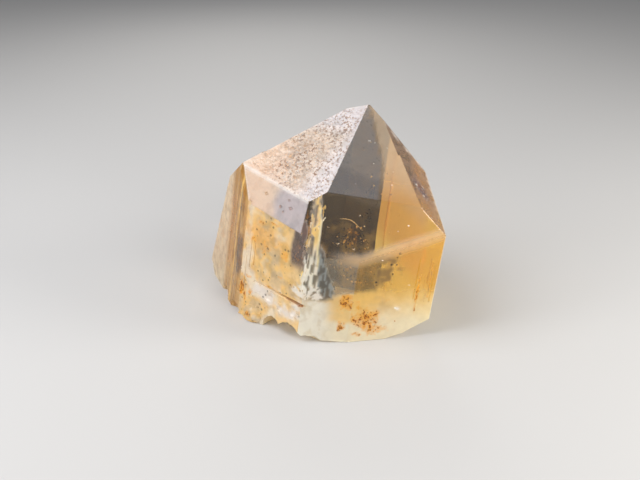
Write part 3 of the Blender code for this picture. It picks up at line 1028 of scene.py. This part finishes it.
def stoneMaterial(plan):
    material = bpy.data.materials.new("topazStone")
    material.use_nodes = True
    tree = material.node_tree
    shader = tree.nodes["Principled BSDF"]
    shader.inputs["IOR"].default_value = plan["ior"]
    place = tree.nodes.new("ShaderNodeTexCoord").outputs["Object"]

    def attribute(name, socket="Fac"):
        reader = tree.nodes.new("ShaderNodeAttribute")
        reader.attribute_name = name
        return reader.outputs[socket]

    def plug(value, socket):
        if isinstance(value, bpy.types.NodeSocket):
            tree.links.new(value, socket)
        else:
            socket.default_value = value

    def maths(operation, first, second, clamp=False):
        worker = tree.nodes.new("ShaderNodeMath")
        worker.operation = operation
        worker.use_clamp = clamp
        plug(first, worker.inputs[0])
        plug(second, worker.inputs[1])
        return worker.outputs[0]

    def times(first, second, clamp=False):
        return maths("MULTIPLY", first, second, clamp)

    def noiseOf(size, detail=2.0):
        worker = tree.nodes.new("ShaderNodeTexNoise")
        tree.links.new(place, worker.inputs["Vector"])
        worker.inputs["Scale"].default_value = 1 / (size * mm)
        worker.inputs["Detail"].default_value = detail
        return worker.outputs["Fac"]

    def between(value, low, high, least=0.0, most=1.0):
        worker = tree.nodes.new("ShaderNodeMapRange")
        worker.interpolation_type = "SMOOTHSTEP"
        plug(value, worker.inputs["Value"])
        worker.inputs["From Min"].default_value = low
        worker.inputs["From Max"].default_value = high
        worker.inputs["To Min"].default_value = least
        worker.inputs["To Max"].default_value = most
        return worker.outputs["Result"]

    def mixed(share, first, second):
        worker = tree.nodes.new("ShaderNodeMix")
        worker.data_type = "RGBA"
        plug(share, worker.inputs["Factor"])
        plug(first, worker.inputs[6])
        plug((*second, 1), worker.inputs[7])
        return worker.outputs[2]

    coarse, fine = noiseOf(plan["coarse"]), noiseOf(plan["fine"])
    rust = attribute("rust")
    spread = times(maths("SUBTRACT", maths("ADD", coarse, fine), 1.0), plan["stainRough"])
    stain = times(between(maths("ADD", rust, spread), *plan["stain"]), between(rust, *plan["stainFrom"]))
    spread = times(maths("SUBTRACT", fine, 0.5), plan["deepRough"])
    deep = times(between(maths("ADD", rust, spread), *plan["deep"]), between(rust, *plan["deepFrom"]))
    cells = tree.nodes.new("ShaderNodeTexVoronoi")
    tree.links.new(place, cells.inputs["Vector"])
    cells.inputs["Scale"].default_value = 1 / (plan["grainCell"] * mm)
    grain = between(maths("ADD", cells.outputs["Distance"], times(fine, plan["grainRough"])), *plan["grain"])
    grain = times(grain, attribute("dark"))
    gritAndSparkle = attribute("gritAndSparkle")
    large, small = (times(noiseOf(size, detail), weight) for size, detail, weight in plan["crumbs"])
    dirt = times(between(maths("ADD", large, small), *plan["crumb"]), gritAndSparkle)
    # painted highlight: pale sparkle specks on the gritty parts, mixed into the colour last
    paintedSparkle = times(between(noiseOf(plan["paintedSparkleSize"], 1.0), *plan["paintedSparkle"]), gritAndSparkle)
    cover = plan["cover"]
    colour = mixed(times(stain, cover["stain"]), attribute("tint", "Color"), plan["rustPale"])
    colour = mixed(times(deep, cover["deep"]), colour, plan["rustDeep"])
    colour = mixed(grain, colour, plan["grainColour"])
    colour = mixed(times(dirt, cover["dirt"]), colour, plan["gritColour"])
    colour = mixed(times(paintedSparkle, cover["paintedSparkle"]), colour, plan["paintedSparkleColour"])
    tree.links.new(colour, shader.inputs["Base Color"])
    patches = times(between(coarse, *plan["patches"]), attribute("patchy"))
    film = times(attribute("film"), maths("ADD", patches, 1.0))
    for layer, name in ((stain, "stain"), (deep, "deep"), (grain, "grain")):
        film = maths("MAXIMUM", film, times(layer, plan["film"][name]))
    tree.links.new(maths("SUBTRACT", 1.0, film, True), shader.inputs["Transmission Weight"])
    glow = tree.nodes.new("ShaderNodeBsdfTranslucent")
    tree.links.new(colour, glow.inputs["Color"])
    both = tree.nodes.new("ShaderNodeMixShader")
    tree.links.new(times(film, plan["glow"], True), both.inputs[0])
    tree.links.new(shader.outputs[0], both.inputs[1])
    tree.links.new(glow.outputs[0], both.inputs[2])
    tree.links.new(both.outputs[0], tree.nodes["Material Output"].inputs["Surface"])
    rough = maths("ADD", attribute("frost"), times(stain, plan["stainFrost"]))
    tree.links.new(rough, shader.inputs["Roughness"])
    volume = tree.nodes.new("ShaderNodeVolumeAbsorption")
    volume.inputs["Color"].default_value = (*plan["throughColour"], 1)
    volume.inputs["Density"].default_value = plan["density"]
    tree.links.new(volume.outputs["Volume"], tree.nodes["Material Output"].inputs["Volume"])
    return material


# a place under a natural face, in mm
def placeIn(face, across, up, depth):
    return face["origin"] + face["across"] * across + face["up"] * up - face["out"] * depth


# how uneven the small angular chips are
chipPlan = {
    "turn": 2.4,                        # radians from corner to corner
    "sway": 0.5,                        # radians, to each side
    "reach": (0.75, 1.0),
}


# adds a small angular solid: half lengths along, across and through it, in mm
def addChip(bm, place, long, wide, size, corners):
    long = long / np.linalg.norm(long)
    thin = np.cross(long, wide)
    thin = thin / np.linalg.norm(thin)
    wide = np.cross(thin, long)
    sway = chipPlan["sway"]
    verts = []
    for index in range(corners):
        height = 1 - 2 * (index + 0.5) / corners
        angle = index * chipPlan["turn"] + chance.uniform(-sway, sway)
        across = math.sqrt(1 - height * height)
        share = chance.uniform(*chipPlan["reach"])
        point = place + share * (long * height * size[0] + wide * across * math.cos(angle) * size[1]
                                 + thin * across * math.sin(angle) * size[2])
        verts.append(bm.verts.new(Vector(point * mm)))
    hull = bmesh.ops.convex_hull(bm, input=verts)
    spare = [item for item in hull["geom_interior"] + hull["geom_unused"]
             if isinstance(item, bmesh.types.BMVert)]
    bmesh.ops.delete(bm, geom=list(dict.fromkeys(spare)), context="VERTS")


def finishSmall(bm, name, colour, rough):
    bmesh.ops.recalc_face_normals(bm, faces=bm.faces)
    mesh = bpy.data.meshes.new(name)
    bm.to_mesh(mesh)
    bm.free()
    thing = bpy.data.objects.new(name, mesh)
    bpy.context.scene.collection.objects.link(thing)
    material = bpy.data.materials.new(name)
    material.use_nodes = True
    shader = material.node_tree.nodes["Principled BSDF"]
    shader.inputs["Base Color"].default_value = (*colour, 1)
    shader.inputs["Roughness"].default_value = rough
    mesh.materials.append(material)
    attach(thing, "root")
    print(name, "of", len(mesh.polygons), "faces")


# the healed crack behind the front left edge: blades along it, a fan of fibres at its foot,
# and dark slivers beside that; its bright and golden blades and fibres are painted highlights, chips
# coloured as glints
featherPlan = {
    "path": ((0.10, -3.10, 6.40), (-0.14, -3.62, 5.35), (-0.33, -3.98, 4.55), (-0.42, -4.14, 3.60),
             (-0.58, -4.16, 2.75)),     # mm
    "count": 240,
    "crowding": 0.8,                    # below 1, more blades lie low
    "spread": 0.34,                     # mm, to each side
    "widening": (0.6, 0.8),             # share of that at the top, and what the foot adds
    "depth": (0.06, 0.42),              # mm, behind the faces
    "turn": 0.35,                       # how far blades turn from the path
    "tilt": ((-1.1, 0.3), (-0.3, 0.3)), # how far they tilt back, and up
    "long": (0.08, 0.34),               # mm, half length of a blade
    "wide": (0.03, 0.12),
    "thin": 0.008,
    "dark": 0.26,                       # share of dark blades
    "gold": 0.5,                        # share of golden ones, at the top
    "corners": 7,
    "fanFoot": (-0.42, -4.02, 2.62),    # mm, where the spray of fibres starts
    "fanCount": 34,
    "fanStart": ((-0.22, 0.30), 0.12, (-0.15, 0.30)),   # mm from there, across, back and up
    "fanAngles": (-20, 150),            # degrees
    "fanBack": (-0.1, 0.25),            # how far a fibre leans back
    "fanLong": (0.15, 0.42),            # mm, half length of a fibre
    "fanSize": (0.030, 0.010),
    "fanBright": 0.75,
    "sliverCount": 26,
    "sliverAcross": (-0.15, 0.75),      # mm
    "sliverUp": (2.45, 3.75),
    "sliverBack": -3.85,
    "sliverLean": 0.8,
    "sliverLong": (0.10, 0.28),
    "sliverSize": (0.06, 0.010),
    # the bright and golden looks are painted highlights: chips coloured as the crack's glints
    "looks": (("featherBrightGlint", (1.0, 0.97, 0.84), 0.22), ("featherGoldGlint", (0.95, 0.70, 0.24), 0.25),
              ("featherDark", (0.05, 0.06, 0.055), 0.15)),
}


def alongPath(path, share):
    part = share * (len(path) - 1)
    index = min(int(part), len(path) - 2)
    first, second = np.array(path[index]), np.array(path[index + 1])
    return first + (second - first) * (part - index), second - first


def makeFeather(plan):
    bright, gold, dark = bmesh.new(), bmesh.new(), bmesh.new()
    turn, (narrow, gain), (back, up) = plan["turn"], plan["widening"], plan["tilt"]
    for index in range(plan["count"]):
        share = ((index + chance.random()) / plan["count"]) ** plan["crowding"]
        place, along = alongPath(plan["path"], share)
        aside = chance.gauss(0, 0.5) * plan["spread"] * (narrow + gain * share)
        place = place + np.array((aside, chance.uniform(*plan["depth"]), 0))
        long = along / np.linalg.norm(along) + np.array([chance.uniform(-turn, turn) for axis in range(3)])
        wide = np.array((1.0, chance.uniform(*back), chance.uniform(*up)))
        size = (chance.uniform(*plan["long"]), chance.uniform(*plan["wide"]), plan["thin"])
        pick = chance.random() - plan["dark"]
        bm = dark if pick < 0 else gold if pick < plan["gold"] * (1 - share) else bright
        addChip(bm, place, long, wide, size, plan["corners"])
    foot = np.array(plan["fanFoot"])
    aside, back, up = plan["fanStart"]
    for index in range(plan["fanCount"]):
        angle = math.radians(chance.uniform(*plan["fanAngles"]))
        along = np.array((math.cos(angle), chance.uniform(*plan["fanBack"]), math.sin(angle)))
        length = chance.uniform(*plan["fanLong"])
        start = foot + np.array((chance.uniform(*aside), back, chance.uniform(*up)))
        bm = bright if chance.random() < plan["fanBright"] else dark
        addChip(bm, start + along * length, along, np.array((0.2, 1.0, 0.1)), (length, *plan["fanSize"]),
                plan["corners"])
    lean = plan["sliverLean"]
    for index in range(plan["sliverCount"]):
        place = np.array((chance.uniform(*plan["sliverAcross"]), plan["sliverBack"],
                          chance.uniform(*plan["sliverUp"])))
        long = np.array((chance.uniform(-lean, lean), 0.1, 1.0))
        size = (chance.uniform(*plan["sliverLong"]), *plan["sliverSize"])
        addChip(dark, place, long, np.array((1.0, 0.4, 0)), size, plan["corners"])
    for bm, look in zip((bright, gold, dark), plan["looks"]):
        finishSmall(bm, *look)


# dark grains and stains inside, near the back right face, and the golden arc in the front shoulder
grainPlan = {
    "clusters": (                       # middle across and up, spread (mm), and count
        ((0.60, -1.90), (0.50, 0.45), 60),
        ((-0.30, -1.60), (0.35, 0.40), 44),
        ((-0.55, -0.40), (0.30, 0.50), 14),
        ((-0.10, -2.60), (0.80, 0.30), 50),
    ),
    "size": (0.015, 0.075),             # mm
    "depth": (0.05, 0.50),              # mm, under the face
    "dark": 0.78,                       # share of dark grains
    "thin": 0.7,                        # thickness to width
    "arcFoot": (0.32, 0.16),            # mm across and up the shoulder, where the arc starts
    "arcWidth": 0.95,                   # mm
    "arcRise": 0.07,
    "arcDrop": 0.36,
    "arcTurn": 0.75,
    "arcDepth": 0.35,                   # mm, under the face
    "arcChips": 9,
    "arcSize": (0.11, 0.012, 0.025),    # mm, half length, least half width, and what the middle adds
    "looks": (("darkGrains", (0.02, 0.018, 0.015), 0.4), ("amberGrains", (0.85, 0.62, 0.26), 0.35)),
}


def makeGrains(plan, faces):
    dark, amber = bmesh.new(), bmesh.new()
    for (across, up), (halfAcross, halfUp), count in plan["clusters"]:
        for index in range(count):
            place = placeIn(faces["prismBackRight"], across + chance.gauss(0, 0.6) * halfAcross,
                            up + chance.gauss(0, 0.6) * halfUp, chance.uniform(*plan["depth"]))
            size = chance.uniform(*plan["size"])
            long = np.array([chance.uniform(-1, 1) for axis in range(3)])
            wide = np.array([chance.uniform(-1, 1) for axis in range(3)])
            bm = dark if chance.random() < plan["dark"] else amber
            addChip(bm, place, long, wide, (size * chance.uniform(1, 2), size, size * plan["thin"]), 9)
    shoulder = faces["shoulderFront"]
    halfLong, halfWide, gain = plan["arcSize"]
    for index in range(plan["arcChips"]):
        share = index / (plan["arcChips"] - 1)
        bulge = math.sin(share * 3.1)
        across = plan["arcFoot"][0] + share * plan["arcWidth"]
        up = plan["arcFoot"][1] + plan["arcRise"] * bulge - plan["arcDrop"] * share ** 2
        along = shoulder["across"] - shoulder["up"] * share * plan["arcTurn"]
        addChip(amber, placeIn(shoulder, across, up, plan["arcDepth"]), along, shoulder["up"],
                (halfLong, halfWide + gain * bulge, halfWide), 8)
    for bm, look in zip((dark, amber), plan["looks"]):
        finishSmall(bm, *look)


# tiny pale nicks and rust crusts on the front faces
markPlan = {
    "nicks": (                          # face, place across and up, and half sizes in mm
        ("roofFront", (2.39, -0.22), (0.045, 0.02)), ("roofFront", (1.49, 0.80), (0.03, 0.025)),
        ("roofFront", (1.47, 1.92), (0.03, 0.02)), ("roofFront", (2.06, 1.72), (0.07, 0.012)),
        ("shoulderFront", (3.40, 0.23), (0.06, 0.03)), ("shoulderFront", (2.95, -0.08), (0.03, 0.02)),
        ("prismFrontRight", (2.95, -0.66), (0.09, 0.018)), ("prismFrontRight", (2.51, -1.90), (0.10, 0.07)),
        ("prismFrontRight", (1.48, 0.55), (0.06, 0.02)), ("roofFront", (2.41, 0.48), (0.02, 0.02)),
    ),
    "nickThick": 0.012,                 # mm
    "nickDepth": 0.004,
    "crusts": (                         # face, middle and spread in mm, lean in degrees, and count
        ("prismFront", (1.15, -1.85), (0.22, 0.22), 20, 16),
        ("prismFront", (1.00, -3.05), (0.15, 0.18), 15, 14),
        ("prismFrontRight", (1.12, -2.50), (0.20, 0.26), 25, 24),
        ("prismFrontRight", (1.45, -2.75), (0.35, 0.30), 25, 12),
        ("prismFrontRight", (3.42, -1.05), (0.03, 0.85), 0, 30),
        ("prismFrontRight", (3.82, -1.20), (0.03, 0.40), 0, 20),
        ("prismFrontRight", (3.95, -0.45), (0.03, 0.75), 0, 28),
        ("prismFrontLeft", (-1.30, -2.95), (0.16, 0.45), 10, 18),
        ("prismFrontLeft", (-0.72, -2.85), (0.12, 0.16), 30, 10),
        ("prismFrontLeft", (-0.50, -3.95), (0.20, 0.16), 30, 10),
        ("prismFrontLeft", (-0.48, 0.89), (0.12, 0.08), 60, 5),
        ("prismFrontLeft", (0.50, 1.10), (0.30, 0.05), 70, 6),
        ("prismFront", (-0.92, -2.22), (0.16, 0.04), 60, 8),
    ),
    "crustSway": 18,                    # degrees, to each side
    "crustLong": (0.02, 0.06),          # mm, half length of a crumb
    "crustWide": (0.008, 0.020),
    "crustThick": 0.010,
    "crustDepth": 0.006,
    "deep": 0.45,                       # share of deep brown crumbs
    "looks": (("paleNicks", (0.95, 0.90, 0.82), 0.4), ("rustCrust", (0.66, 0.26, 0.025), 0.6),
              ("deepRust", (0.26, 0.08, 0.015), 0.6)),
}


def makeMarks(plan, faces):
    pale, rusty, deep = bmesh.new(), bmesh.new(), bmesh.new()
    for name, (across, up), half in plan["nicks"]:
        face = faces[name]
        addChip(pale, placeIn(face, across, up, plan["nickDepth"]), face["across"], face["up"],
                (*half, plan["nickThick"]), 9)
    sway = plan["crustSway"]
    for name, middle, spread, lean, count in plan["crusts"]:
        face = faces[name]
        for index in range(count):
            across = middle[0] + chance.gauss(0, 0.6) * spread[0]
            up = middle[1] + chance.gauss(0, 0.6) * spread[1]
            tilt = math.radians(lean + chance.uniform(-sway, sway))
            along = face["up"] * math.cos(tilt) + face["across"] * math.sin(tilt)
            bm = deep if chance.random() < plan["deep"] else rusty
            size = (chance.uniform(*plan["crustLong"]), chance.uniform(*plan["crustWide"]),
                    plan["crustThick"])
            addChip(bm, placeIn(face, across, up, plan["crustDepth"]), along,
                    np.cross(along, face["out"]), size, 8)
    for bm, look in zip((pale, rusty, deep), plan["looks"]):
        finishSmall(bm, *look)


makeCamera(cameraPlan)
makeStudio(studioPlan)
makeBody(bodyPlan)
chance = random.Random(29)              # the chips' own draws, in the order of the calls below
naturalFaces = readFaces(stancePlan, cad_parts[node].data)
makeFeather(featherPlan)
makeGrains(grainPlan, naturalFaces)
makeMarks(markPlan, naturalFaces)
bpy.context.scene.cycles.transmission_bounces = 16
bpy.context.scene.cycles.max_bounces = 20
bpy.context.scene.view_settings.view_transform = "Standard"
